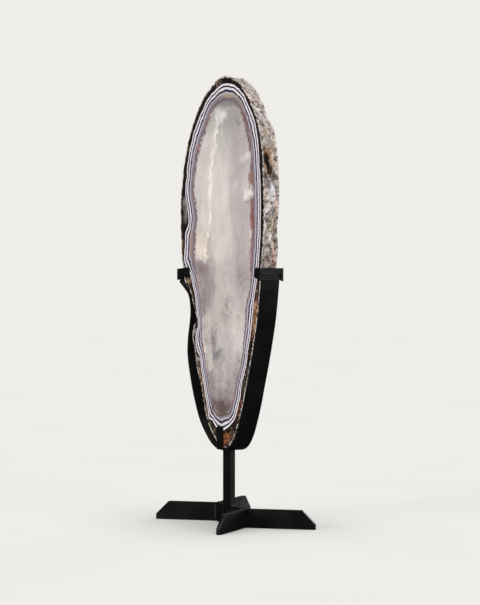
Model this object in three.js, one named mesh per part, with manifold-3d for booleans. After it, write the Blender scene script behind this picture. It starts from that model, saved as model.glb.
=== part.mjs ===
// An agate slice, held upright in a black stand welded from flat steel bar.
// Millimetres, +Z up. X runs across the slice and Y through its thickness, with the front face
// towards -Y. The origin is on the floor, under the middle of the post.

import * as THREE from 'three';
import { mergeVertices } from 'three/addons/utils/BufferGeometryUtils.js';
import Module from 'manifold-3d';

const wasm = await Module();
wasm.setup();

// Steel stock of the stand
const BAR_WIDTH = 25.4;
const BAR_THICKNESS = 6.35;
const STRIP_THICKNESS = 3.2;
const WELD_GAP = 0.3; // left between pieces that the welds join

// The slice: each row is a point of the front edge and the point behind it on the back edge, as
// [x, z] pairs, clockwise from the top as seen from the front. The nodule narrows towards the back.
const SLICE_THICKNESS = 25;
const SLICE_RIM = [
  // the top and the right shoulder, with the ledge in the rind
  [[14, 611], [12, 609]], [[38, 605], [34, 601]], [[60, 594.5], [54, 590]], [[80, 579], [70, 576]],
  [[97, 561], [82, 563]], [[111, 542], [92, 547]], [[121, 520], [109, 531]], [[127, 495], [119, 503]],
  // the right side, down into the cradle
  [[129.5, 465], [124, 468]], [[130.5, 430], [124.5, 430]], [[129.5, 395], [120, 397]],
  [[126.5, 368], [121, 368]], [[121.3, 348], [116.5, 348]], [[120.6, 334], [115.5, 334]],
  [[117, 310], [112, 311]], [[110.5, 280], [106, 282]], [[101, 250], [97, 252]], [[90, 220], [86.5, 222]],
  [[79, 193], [76, 195]], [[69, 168], [66.5, 170]], [[58, 147], [56, 149]], [[46, 127.5], [44.5, 129]],
  // the foot
  [[33, 113], [32, 114.5]], [[20, 106.4], [19.5, 108]], [[6, 105.3], [6.5, 107]], [[-8, 109], [-7, 110.5]],
  [[-22, 119], [-20.5, 121]], [[-36, 131], [-33.5, 133]],
  // the left side, with the notch and the overhang above it
  [[-48, 148], [-45, 150]], [[-58, 171], [-54.5, 173]], [[-68, 195], [-64, 197]], [[-79, 214], [-74.5, 216]],
  [[-84, 236], [-79, 237]], [[-92, 255], [-86, 254]], [[-88, 269], [-82, 267]], [[-77, 279], [-72, 280]],
  [[-84, 291], [-78, 293]], [[-93, 307], [-87, 309]], [[-104, 324], [-98, 326]], [[-119, 334], [-112, 336]],
  [[-122, 347], [-116, 348]], [[-127, 361], [-120.5, 362]],
  // the left belly and shoulder
  [[-131, 388], [-125, 388]], [[-133, 420], [-127, 420]], [[-132, 450], [-126, 450]],
  [[-127, 478], [-121.5, 477]], [[-120, 502], [-114.5, 500]], [[-110, 525], [-104, 522]],
  [[-101, 541], [-95, 537]], [[-88, 558], [-83, 553]], [[-73, 574], [-68, 568]], [[-55, 588], [-51, 582]],
  [[-34, 599], [-31, 594]], [[-10, 608], [-8, 604.5]],
];
const STEPS_PER_POINT = 4;
const SLICE_COLUMNS = STEPS_PER_POINT * SLICE_RIM.length; // steps round the rim
const SLICE_ROWS = 14; // steps through the thickness
const BACK_SLOPE_POWER = 1.6; // how late in the thickness the rim turns in towards the back edge
const SPINE = { x: 4, low: 195, high: 500 }; // upright line that the hollows of the rind head for

// Rough rind: ripples round the rim as [waves round, waves through, depth, phase], and open pits
const RIND_RIPPLES = [
  [9, 0.4, 0.6, 0.3], [21, -0.9, 0.55, 1.9], [34, 1.3, 0.45, 4.1], [47, -1.7, 0.4, 2.6],
];
const SMOOTH_LIP = 0.12; // share of the thickness over which the ripples fade in from each face
const RIND_PITS = [
  { x: 125, y: -5, z: 489, across: 4.5, along: 9, depth: 5.6 },
  { x: 125, y: -1.5, z: 475, across: 4.5, along: 8, depth: 4.8 },
  { x: 125, y: 6, z: 469, across: 3.5, along: 5, depth: 2.2 },
  { x: 92, y: -7.5, z: 566, across: 3, along: 4.5, depth: 2.2 },
  { x: 120, y: -7.5, z: 505, across: 3, along: 4, depth: 1.8 },
  { x: 112, y: -2, z: 526, across: 3.5, along: 4.5, depth: 1.6 },
  { x: 128, y: -8, z: 411, across: 3.5, along: 6, depth: 2 },
  { x: 124, y: 9, z: 399, across: 5, along: 8, depth: 3.4 },
  { x: 125, y: -1, z: 360, across: 3, along: 4, depth: 1.6 },
  { x: -128, y: 3, z: 400, across: 5, along: 9, depth: 3 },
  { x: -124, y: -3, z: 470, across: 4, along: 8, depth: 2.6 },
  { x: -100, y: 4, z: 536, across: 5, along: 9, depth: 3 },
  { x: -40, y: 2, z: 592, across: 5, along: 10, depth: 2.4 },
  { x: 30, y: 5, z: 600, across: 4, along: 8, depth: 2 },
  { x: -82, y: 2, z: 236, across: 5, along: 8, depth: 2.6 },
];

// The cradle strip: its middle line as [x, z], from its left end down under the slice to the right
const CRADLE_LINE = [
  [-136, 333.5], [-119, 324], [-105, 315], [-99.5, 303], [-97.5, 289], [-100, 275], [-106.5, 251],
  [-108, 233], [-105, 217], [-99, 200], [-92, 183], [-82, 163], [-67, 140], [-48, 122.5], [-30, 110.5],
  [-14, 104.6], [3, 102.9], [20, 104], [36, 111], [49.5, 125], [61.5, 145.5], [72, 167], [82, 192],
  [93, 219], [104, 249.5], [113.5, 279.5], [119.8, 309], [123.2, 330], [123.4, 340.2],
];
const CRADLE_STEPS = 70;

// U-shaped clips on the ends of the cradle: finger outlines as [x, z], and the reach in Y
const CLIP_FRONT = -16.2;
const CLIP_BACK = 18.8;
const RIGHT_CLIP_BAR = { from: 121.8, to: 125, low: 340.5, high: 347.6 };
const RIGHT_CLIP_FINGER = [[125, 330.5], [125, 347.6], [109.8, 347.9], [109.8, 335.4]];
const LEFT_CLIP_BAR = { from: -137.4, to: -134.2, low: 335.2, high: 351 };
const LEFT_CLIP_FINGER = [[-137.4, 335.2], [-101.5, 342], [-101.5, 352.5], [-137.4, 351]];

// Prongs that stand on the cradle's edges at the foot of the slice
const PRONG_WIDTH = 14;
const PRONG_CENTRE_X = 1.5;
const PRONG_TOP = 133;
const PRONG_BOTTOM = 102;

// Post and feet
const FOOT_CENTRE_X = 5;
const CORNER_SPREAD = 46.5; // from the middle of the base to the inner corner of each V
const V_HALF_ANGLE = THREE.MathUtils.degToRad(50);
const LEG_LENGTH = { rightBack: 95, rightFront: 82, leftFront: 85, leftBack: 107 };
const TIP_HEIGHT = 7.5; // upright end of a leg, below its sloping tip
const TIP_SLOPE_LENGTH = 18;

const MILKY_AGATE = { color: 0xcdc6c4, roughness: 0.25, metalness: 0 };
const BLACK_PAINTED_STEEL = { color: 0x141415, roughness: 0.45, metalness: 0.3 };

function namedMesh(name, geometry, finish = BLACK_PAINTED_STEEL) {
  const mesh = new THREE.Mesh(geometry, new THREE.MeshStandardMaterial(finish));
  mesh.name = name;
  return mesh;
}

// Shapes in the XZ plane, thickened along Y

function extrudeAlongY(points, yLow, yHigh) {
  const shape = new THREE.Shape(points.map(([x, z]) => new THREE.Vector2(x, z)));
  const geometry = new THREE.ExtrudeGeometry(shape, { depth: yHigh - yLow, bevelEnabled: false });
  geometry.rotateX(Math.PI / 2); // the drawing's up becomes Z, and its depth runs to -Y
  geometry.translate(0, yHigh, 0);
  return geometry;
}

// Solids joined into one piece

function toManifold(geometry) {
  const bare = geometry.clone();
  bare.deleteAttribute('normal');
  bare.deleteAttribute('uv');
  const merged = mergeVertices(bare, 1e-4);
  return new wasm.Manifold(new wasm.Mesh({
    numProp: 3,
    vertProperties: Float32Array.from(merged.attributes.position.array),
    triVerts: Uint32Array.from(merged.index.array),
  }));
}

function joined(geometries) {
  const { vertProperties, triVerts } = geometries.map(toManifold).reduce((a, b) => a.add(b)).getMesh();
  const geometry = new THREE.BufferGeometry();
  geometry.setAttribute('position', new THREE.BufferAttribute(vertProperties, 3));
  geometry.setIndex(new THREE.BufferAttribute(triVerts, 1));
  geometry.computeVertexNormals();
  return geometry;
}

// The slice

const smoothstep = (value, low, high) => THREE.MathUtils.smoothstep(value, low, high);

function inwardFrom(x, z) {
  const target = new THREE.Vector2(SPINE.x, THREE.MathUtils.clamp(z, SPINE.low, SPINE.high));
  return target.sub(new THREE.Vector2(x, z)).normalize();
}

// Depth of the rind's hollows: round is 0 to 1 along the rim, through is 0 at the front and 1 at the back
function rindDepth(round, through) {
  const fade = smoothstep(through, 0, SMOOTH_LIP) * smoothstep(1 - through, 0, SMOOTH_LIP);
  const ripple = RIND_RIPPLES.reduce((sum, [waves, across, depth, phase]) => (
    sum + depth * (1 + Math.sin(2 * Math.PI * (waves * round + across * through) + phase)) / 2
  ), 0);
  return fade * ripple;
}

function pitDepth(x, y, z) {
  return RIND_PITS.reduce((sum, pit) => {
    const along = Math.hypot(x - pit.x, z - pit.z) / pit.along;
    const across = (y - pit.y) / pit.across;
    return sum + pit.depth * Math.exp(-(along * along + across * across));
  }, 0);
}

function rimCurve(edge) {
  const points = SLICE_RIM.map((pair) => new THREE.Vector3(pair[edge][0], 0, pair[edge][1]));
  const curve = new THREE.CatmullRomCurve3(points, true, 'centripetal');
  return Array.from({ length: SLICE_COLUMNS }, (_, column) => curve.getPoint(column / SLICE_COLUMNS));
}

function sliceGeometry() {
  const [frontRim, backRim] = [rimCurve(0), rimCurve(1)];
  const positions = [];
  for (let row = 0; row <= SLICE_ROWS; row += 1) {
    const through = row / SLICE_ROWS;
    const y = (through - 0.5) * SLICE_THICKNESS;
    frontRim.forEach((front, column) => {
      const point = front.clone().lerp(backRim[column], through ** BACK_SLOPE_POWER);
      const inward = inwardFrom(point.x, point.z);
      const depth = rindDepth(column / SLICE_COLUMNS, through) + pitDepth(front.x, y, front.z);
      positions.push(point.x + inward.x * depth, y, point.z + inward.y * depth);
    });
  }

  const indices = [];
  for (let row = 0; row < SLICE_ROWS; row += 1) {
    for (let column = 0; column < SLICE_COLUMNS; column += 1) {
      const next = (column + 1) % SLICE_COLUMNS;
      const [a, b] = [row * SLICE_COLUMNS + column, row * SLICE_COLUMNS + next];
      const [c, d] = [a + SLICE_COLUMNS, b + SLICE_COLUMNS];
      indices.push(a, b, c, b, d, c);
    }
  }
  for (const [firstVertex, front] of [[0, true], [SLICE_ROWS * SLICE_COLUMNS, false]]) {
    const face = frontRim.map((_, column) => new THREE.Vector2(
      positions[3 * (firstVertex + column)], positions[3 * (firstVertex + column) + 2],
    ));
    for (const [a, b, c] of THREE.ShapeUtils.triangulateShape(face, [])) {
      const corners = front ? [a, b, c] : [a, c, b];
      indices.push(...corners.map((corner) => firstVertex + corner));
    }
  }

  const geometry = new THREE.BufferGeometry();
  geometry.setAttribute('position', new THREE.Float32BufferAttribute(positions, 3));
  geometry.setIndex(indices);
  geometry.computeVertexNormals();
  return geometry;
}

// The cradle

const cradleCurve = new THREE.CatmullRomCurve3(
  CRADLE_LINE.map(([x, z]) => new THREE.Vector3(x, 0, z)), false, 'centripetal',
);

// Points beside the cradle's middle line; a positive distance is on the outside, under the slice
function besideCradle(distance) {
  return Array.from({ length: CRADLE_STEPS + 1 }, (_, step) => {
    const along = step / CRADLE_STEPS;
    const point = cradleCurve.getPointAt(along);
    const tangent = cradleCurve.getTangentAt(along);
    return [point.x + tangent.z * distance, point.z - tangent.x * distance];
  });
}

function cradleGeometry() {
  const outside = besideCradle(STRIP_THICKNESS / 2);
  const inside = besideCradle(-STRIP_THICKNESS / 2);
  return extrudeAlongY([...outside, ...inside.reverse()], -BAR_WIDTH / 2, BAR_WIDTH / 2);
}

function clipGeometry(bar, finger) {
  const rail = [[bar.from, bar.low], [bar.to, bar.low], [bar.to, bar.high], [bar.from, bar.high]];
  return joined([
    extrudeAlongY(rail, CLIP_FRONT, CLIP_BACK),
    extrudeAlongY(finger, CLIP_FRONT, CLIP_FRONT + STRIP_THICKNESS),
    extrudeAlongY(finger, CLIP_BACK - STRIP_THICKNESS, CLIP_BACK),
  ]);
}

function prongGeometry(side) {
  const [left, right] = [PRONG_CENTRE_X - PRONG_WIDTH / 2, PRONG_CENTRE_X + PRONG_WIDTH / 2];
  const plate = [[left, PRONG_BOTTOM], [right, PRONG_BOTTOM], [right, PRONG_TOP], [left, PRONG_TOP]];
  const near = BAR_WIDTH / 2 + WELD_GAP;
  const far = near + STRIP_THICKNESS;
  return side < 0 ? extrudeAlongY(plate, -far, -near) : extrudeAlongY(plate, near, far);
}

// Post, web and feet

function postGeometry() {
  const half = BAR_WIDTH / 2;
  const underside = besideCradle(STRIP_THICKNESS / 2 + WELD_GAP);
  const under = underside.filter(([x, z]) => Math.abs(x) < half && z < PRONG_TOP);
  const heightAt = (x) => {
    const step = underside.findIndex((point, index) => index > 0 && point[0] > x && point[1] < PRONG_TOP);
    const [before, after] = [underside[step - 1], underside[step]];
    return THREE.MathUtils.mapLinear(x, before[0], after[0], before[1], after[1]);
  };
  const foot = BAR_WIDTH + WELD_GAP;
  const outline = [
    [-half, foot], [half, foot], [half, heightAt(half)], ...under.reverse(), [-half, heightAt(-half)],
  ];
  return extrudeAlongY(outline, -BAR_THICKNESS / 2, BAR_THICKNESS / 2);
}

function webGeometry() {
  const half = BAR_THICKNESS / 2;
  const notch = CORNER_SPREAD - (BAR_THICKNESS + WELD_GAP) / Math.sin(V_HALF_ANGLE);
  const cheek = notch + half / Math.tan(V_HALF_ANGLE);
  const plan = [[cheek, -half], [notch, 0], [cheek, half], [-cheek, half], [-notch, 0], [-cheek, -half]];
  const shape = new THREE.Shape(plan.map(([x, y]) => new THREE.Vector2(x, y)));
  return new THREE.ExtrudeGeometry(shape, { depth: BAR_WIDTH, bevelEnabled: false });
}

// A leg lies along its own +X from the corner of the V, with its thickness to the given side in Y
function legGeometry(length, side) {
  const profile = [
    [0, 0], [length, 0], [length, TIP_HEIGHT], [length - TIP_SLOPE_LENGTH, BAR_WIDTH], [0, BAR_WIDTH],
  ];
  const geometry = extrudeAlongY(profile, side < 0 ? -BAR_THICKNESS : 0, side < 0 ? 0 : BAR_THICKNESS);
  const position = geometry.attributes.position;
  const cornerGap = WELD_GAP / 2 / Math.sin(V_HALF_ANGLE);
  for (let index = 0; index < position.count; index += 1) {
    const mitre = cornerGap - Math.abs(position.getY(index)) / Math.tan(V_HALF_ANGLE);
    if (position.getX(index) === 0) position.setX(index, mitre);
  }
  return geometry;
}

// A V opens towards its own +X, with one leg turned to each side
function vFoot(upperName, upperLength, lowerName, lowerLength) {
  const group = new THREE.Group();
  const upperLeg = namedMesh(upperName, legGeometry(upperLength, 1));
  upperLeg.rotation.z = V_HALF_ANGLE;
  const lowerLeg = namedMesh(lowerName, legGeometry(lowerLength, -1));
  lowerLeg.rotation.z = -V_HALF_ANGLE;
  group.add(upperLeg, lowerLeg);
  return group;
}

function base() {
  const group = new THREE.Group();
  const rightFoot = vFoot(
    'right_back_leg', LEG_LENGTH.rightBack, 'right_front_leg', LEG_LENGTH.rightFront,
  );
  rightFoot.position.x = CORNER_SPREAD;
  const leftFoot = vFoot(
    'left_front_leg', LEG_LENGTH.leftFront, 'left_back_leg', LEG_LENGTH.leftBack,
  );
  leftFoot.position.x = -CORNER_SPREAD;
  leftFoot.rotation.z = Math.PI;
  group.add(namedMesh('base_web', webGeometry()), rightFoot, leftFoot);
  group.position.x = FOOT_CENTRE_X;
  return group;
}

const object = new THREE.Group();
object.add(
  namedMesh('agate_slice', sliceGeometry(), MILKY_AGATE),
  namedMesh('cradle_strip', cradleGeometry()),
  namedMesh('right_clip', clipGeometry(RIGHT_CLIP_BAR, RIGHT_CLIP_FINGER)),
  namedMesh('left_clip', clipGeometry(LEFT_CLIP_BAR, LEFT_CLIP_FINGER)),
  namedMesh('front_prong', prongGeometry(-1)),
  namedMesh('back_prong', prongGeometry(1)),
  namedMesh('post', postGeometry()),
  base(),
);

export default object;
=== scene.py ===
# %% [markdown]
# # An agate slice in its welded stand
#
# This notebook dresses a imported CAD model: a tall slice of banded agate that stands in a black cradle of
# flat steel bar. The CAD model gives every size and place, and arrives as a fixed frame of named nodes.
# Here each surface gets its finish, and the slice gets a finer mesh of the same form.
#
# Everything is in metres, +Z up, with the front face of the slice towards -Y. Measured outlines are
# easier to read in millimetres, so they are written that way and multiplied by MM.

# %% Load the frame
import math

import bpy
import numpy as np
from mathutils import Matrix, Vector, noise


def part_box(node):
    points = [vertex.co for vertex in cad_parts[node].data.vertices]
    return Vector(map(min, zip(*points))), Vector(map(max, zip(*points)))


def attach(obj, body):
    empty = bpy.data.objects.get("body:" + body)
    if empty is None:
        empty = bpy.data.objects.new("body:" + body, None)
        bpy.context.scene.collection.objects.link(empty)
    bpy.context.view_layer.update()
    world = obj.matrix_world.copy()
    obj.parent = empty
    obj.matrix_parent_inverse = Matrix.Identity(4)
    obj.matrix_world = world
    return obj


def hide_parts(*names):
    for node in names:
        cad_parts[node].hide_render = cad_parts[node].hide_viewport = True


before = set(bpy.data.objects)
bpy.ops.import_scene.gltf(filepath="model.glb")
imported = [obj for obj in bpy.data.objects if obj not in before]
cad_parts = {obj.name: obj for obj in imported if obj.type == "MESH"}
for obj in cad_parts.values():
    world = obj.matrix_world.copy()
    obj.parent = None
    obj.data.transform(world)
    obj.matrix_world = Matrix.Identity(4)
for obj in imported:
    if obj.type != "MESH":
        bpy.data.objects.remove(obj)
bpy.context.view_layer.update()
scene = bpy.context.scene
MM = 0.001

# %% [markdown]
# ## The camera
#
# The view looks almost along the width of the slice, so that the front face is strongly foreshortened and
# the rind on the right edge shows beside it. A long lens from 2.4 m away keeps the upright lines parallel.
# The camera could be aimed with a Track To constraint. A level camera needs only one turn about Z, so its
# place and turn are worked out directly, which also makes it easy to see what the numbers mean.

# %% Camera at eye level, 64 degrees round from the front
CAMERA_AZIMUTH = math.radians(63.8)  # 0 looks straight at the front face, 90 straight at the right edge
CAMERA_DISTANCE = 2.4
CAMERA_HEIGHT = 0.3026
CAMERA_SIDESTEP = 0.0151
LENS_MM = 104.3  # on a 36 mm sensor

back_direction = Vector((math.sin(CAMERA_AZIMUTH), -math.cos(CAMERA_AZIMUTH), 0))
right_direction = Vector((math.cos(CAMERA_AZIMUTH), math.sin(CAMERA_AZIMUTH), 0))
camera_data = bpy.data.cameras.new("camera")
camera_data.lens = LENS_MM
camera = bpy.data.objects.new("camera", camera_data)
scene.collection.objects.link(camera)
camera.location = back_direction * CAMERA_DISTANCE + right_direction * CAMERA_SIDESTEP
camera.location.z = CAMERA_HEIGHT
camera.rotation_euler = (math.radians(90), 0, CAMERA_AZIMUTH)
scene.camera = camera
print("camera at", [round(value, 3) for value in camera.location])

# %% [markdown]
# ## Floor, light and colour
#
# The floor is a wide pale disc. Three soft lights stand for large soft boxes far away: the key on the side of
# the front face, a fill on the side of the right edge, and a weak one behind, so that the back can be looked
# at too. A fourth comes from above. Area lights would do as well, but leave bright pools on the floor. Sun
# lights with a wide angle keep the shadows soft and light the floor evenly. The Standard view transform
# shows each base colour as it was mixed.

# %% Floor and lights
FLOOR_RADIUS = 14.0
FLOOR_SIDES = 96
LIGHTS = [  # name, where the light comes from, strength, width in degrees
    ("key_light", (0.1, -1.0, 0.22), 1.9, 33),
    ("fill_light", (1.0, 0.14, 0.2), 1.5, 25),
    ("back_light", (-0.45, 0.9, 0.2), 1.35, 30),
    ("overhead_light", (0, 0, 1), 2.6, 40),
]


def new_object(name, vertices, faces):
    """A mesh object made from a list of corners and a list of faces."""
    mesh = bpy.data.meshes.new(name)
    mesh.from_pydata([tuple(map(float, vertex)) for vertex in vertices], [], faces)
    mesh.validate()
    made = bpy.data.objects.new(name, mesh)
    scene.collection.objects.link(made)
    return made


def floor_disc():
    turns = [2 * math.pi * step / FLOOR_SIDES for step in range(FLOOR_SIDES)]
    corners = [(FLOOR_RADIUS * math.cos(turn), FLOOR_RADIUS * math.sin(turn), 0) for turn in turns]
    return new_object("floor", corners, [list(range(FLOOR_SIDES))])


def soft_light(name, source, strength, width):
    """Light from one side: parallel, so it doesn't fall off, and softened by its angular width in degrees."""
    data = bpy.data.lights.new(name, "SUN")
    data.energy = strength
    data.angle = math.radians(width)
    light = bpy.data.objects.new(name, data)
    scene.collection.objects.link(light)
    light.rotation_euler = Vector(source).to_track_quat("Z", "Y").to_euler()


floor = floor_disc()
for light_settings in LIGHTS:
    soft_light(*light_settings)
scene.view_settings.view_transform = "Standard"
print("floor radius", FLOOR_RADIUS, "m, and", len(LIGHTS), "lights")

# %% [markdown]
# ## A small kit for wiring materials
#
# Node trees built in Python grow long when every link is spelled out. The functions below add one node
# each, link what is a socket, type in what is a number, and give back the output. With them a material
# reads like a formula.

# %% Helpers that add and link nodes


def colour(red, green, blue):
    """A display colour from 0 to 255 as the linear RGBA that nodes use."""
    linear = [((c / 255 + 0.055) / 1.055) ** 2.4 if c > 10 else c / 255 / 12.92 for c in (red, green, blue)]
    return (*linear, 1.0)


def place(tree, kind, inputs=None, **settings):
    """Adds a node. inputs maps a socket's name or number to a socket to link or a value to type in."""
    made = tree.nodes.new(kind)
    for name, value in settings.items():
        setattr(made, name, value)
    for key, value in (inputs or {}).items():
        if isinstance(value, bpy.types.NodeSocket):
            tree.links.new(value, made.inputs[key])
        else:
            made.inputs[key].default_value = value
    return made


def calculate(tree, operation, *values):
    return place(tree, "ShaderNodeMath", dict(enumerate(values)), operation=operation).outputs[0]


def times(tree, product, *factors):
    """The product of all the values given."""
    for factor in factors:
        product = calculate(tree, "MULTIPLY", product, factor)
    return product


def vector(tree, operation, *values):
    return place(tree, "ShaderNodeVectorMath", dict(enumerate(values)), operation=operation).outputs[0]


def smooth_step(tree, value, low, high, start=0.0, end=1.0):
    """start where value is below low, end where it is above high, and a soft change between."""
    inputs = {"Value": value, "From Min": low, "From Max": high, "To Min": start, "To Max": end}
    return place(tree, "ShaderNodeMapRange", inputs, interpolation_type="SMOOTHSTEP").outputs[0]


def blend(tree, share, under, over, mode="MIX"):
    """Two colours mixed. Each is a socket, or a display colour as three values from 0 to 255."""
    under, over = (colour(*shade) if isinstance(shade, tuple) else shade for shade in (under, over))
    inputs = {0: share, 6: under, 7: over}
    return place(tree, "ShaderNodeMix", inputs, data_type="RGBA", blend_type=mode).outputs[2]


def lay(tree, under, shade, *shares):
    """One colour laid over another, as far as the product of the shares says."""
    return blend(tree, times(tree, *shares), under, shade)


def cloud(tree, position, scale, detail=3.0, output="Fac"):
    inputs = {"Vector": position, "Scale": scale, "Detail": detail}
    return place(tree, "ShaderNodeTexNoise", inputs).outputs[output]


def noise_about_zero(tree, position, scale, detail, reach):
    """Soft noise from -reach to reach."""
    centred = calculate(tree, "SUBTRACT", cloud(tree, position, scale, detail), 0.5)
    return times(tree, centred, 2 * reach)


def attribute(tree, name):
    return place(tree, "ShaderNodeAttribute", attribute_name=name).outputs["Fac"]


def shifted(tree, position, scale, reach):
    """The position moved about by soft noise, up to reach each way, which makes any pattern's edge wander."""
    offset = vector(tree, "SUBTRACT", cloud(tree, position, scale, 3.0, "Color"), (0.5, 0.5, 0.5))
    return vector(tree, "ADD", position, vector(tree, "MULTIPLY", offset, (2 * reach,) * 3))


def new_material(name):
    """An empty material with its output, its surface shader and the place on the object, in metres."""
    material = bpy.data.materials.new(name)
    material.use_nodes = True
    tree = material.node_tree
    tree.nodes.clear()
    surface = tree.nodes.new("ShaderNodeBsdfPrincipled")
    output = tree.nodes.new("ShaderNodeOutputMaterial")
    tree.links.new(surface.outputs[0], output.inputs[0])
    position = tree.nodes.new("ShaderNodeTexCoord").outputs["Object"]
    return material, tree, surface, position


def use(tree, group, **inputs):
    """Places a node group. An input's name is written with _ for a space. Gives its first output."""
    made = place(tree, "ShaderNodeGroup", node_tree=group)
    for name, value in inputs.items():
        socket = made.inputs[name.replace("_", " ").capitalize()]
        if isinstance(value, bpy.types.NodeSocket):
            tree.links.new(value, socket)
        else:
            socket.default_value = value
    return made.outputs[0]


print("material helpers ready")

# %% [markdown]
# ## Effects that several finishes share
#
# Stone, rind and paint all need soft-edged patches, cloudy mottling, small pits and a crystal grain. Each
# effect is a node group, built once and placed in every material with its own values. A group works like a
# function: its interface lists named inputs and outputs, and only masks and values leave it.

# %% Node groups: soft patch, mottle, pits, crystal grain


def new_group(name, inputs, output):
    """A node group with the given inputs (name, kind, value) and one output. Gives its tree and its ends."""
    tree = bpy.data.node_groups.new(name, "ShaderNodeTree")
    for socket_name, kind, value in inputs:
        socket = tree.interface.new_socket(socket_name, in_out="INPUT", socket_type="NodeSocket" + kind)
        if value is not None:
            socket.default_value = value
    tree.interface.new_socket(output, in_out="OUTPUT", socket_type="NodeSocketFloat")
    return tree, tree.nodes.new("NodeGroupInput").outputs, tree.nodes.new("NodeGroupOutput").inputs[0]


def soft_patch_group():
    """1 inside an ellipsoid that is turned about Y, 0 outside it, with a soft edge."""
    tree, given, result = new_group("soft patch", [
        ("Position", "Vector", None), ("Centre", "Vector", (0, 0, 0)), ("Half size", "Vector", (0.01,) * 3),
        ("Turn", "Float", 0.0), ("Edge", "Float", 0.3),
    ], "Mask")
    away = vector(tree, "SUBTRACT", given["Position"], given["Centre"])
    inputs = {"Vector": away, "Angle": given["Turn"]}
    turned = place(tree, "ShaderNodeVectorRotate", inputs, rotation_type="Y_AXIS").outputs[0]
    measured = vector(tree, "DIVIDE", turned, given["Half size"])
    reach = place(tree, "ShaderNodeVectorMath", {0: measured}, operation="LENGTH").outputs["Value"]
    inner = calculate(tree, "SUBTRACT", 1.0, given["Edge"])
    outer = calculate(tree, "ADD", 1.0, given["Edge"])
    tree.links.new(smooth_step(tree, reach, inner, outer, 1.0, 0.0), result)
    return tree


def mottle_group():
    """Cloudy noise, spread so that it fills 0 to 1."""
    tree, given, result = new_group("mottle", [
        ("Position", "Vector", None), ("Scale", "Float", 50.0), ("Detail", "Float", 4.0),
        ("Contrast", "Float", 0.2),
    ], "Value")
    fog = cloud(tree, given["Position"], given["Scale"], given["Detail"])
    low = calculate(tree, "SUBTRACT", 0.5, given["Contrast"])
    high = calculate(tree, "ADD", 0.5, given["Contrast"])
    tree.links.new(smooth_step(tree, fog, low, high), result)
    return tree


def pits_group():
    """1 in scattered round pits: a share of the cells of a Voronoi pattern each hold one."""
    tree, given, result = new_group("pits", [
        ("Position", "Vector", None), ("Scale", "Float", 250.0), ("Share", "Float", 0.3),
        ("Size", "Float", 0.3),
    ], "Mask")
    cells = place(tree, "ShaderNodeTexVoronoi", {"Vector": given["Position"], "Scale": given["Scale"]})
    lot = place(tree, "ShaderNodeSeparateColor", {0: cells.outputs["Color"]}).outputs[0]
    chosen = calculate(tree, "LESS_THAN", lot, given["Share"])
    inner = times(tree, given["Size"], 0.5)
    dot = smooth_step(tree, cells.outputs["Distance"], inner, given["Size"], 1.0, 0.0)
    tree.links.new(times(tree, chosen, dot), result)
    return tree


def crystal_grain_group():
    """A different value from 0 to 1 in each crystal, small crystals mixed with larger ones."""
    tree, given, result = new_group("crystal grain", [
        ("Position", "Vector", None), ("Scale", "Float", 200.0),
    ], "Value")

    def crystals(scale):
        cells = place(tree, "ShaderNodeTexVoronoi", {"Vector": given["Position"], "Scale": scale})
        return place(tree, "ShaderNodeSeparateColor", {0: cells.outputs["Color"]}).outputs[1]

    coarse = crystals(times(tree, given["Scale"], 0.42))
    total = calculate(tree, "ADD", crystals(given["Scale"]), coarse)
    tree.links.new(times(tree, total, 0.5), result)
    return tree


soft_patch = soft_patch_group()
mottle = mottle_group()
pits = pits_group()
crystal_grain = crystal_grain_group()
print("node groups:", [group.name for group in bpy.data.node_groups])

# %% [markdown]
# ## The form of the slice
#
# A nodule of agate is sawn into slices. Both sawn faces are flat and polished, and the rim keeps the rough
# skin of the nodule, the rind. It could be sculpted, or a displacement texture could be put on a plain
# outline. Here the rim is built from the same outlines and the same hollows as the CAD solid, on a much
# finer mesh, and the fine roughness goes inward only. So the piece can't grow past the solid it stands for.
#
# Each pair below gives a point of the front edge and the point behind it on the back edge, clockwise from
# the top as seen from the front. A closed curve runs through them.

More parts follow.
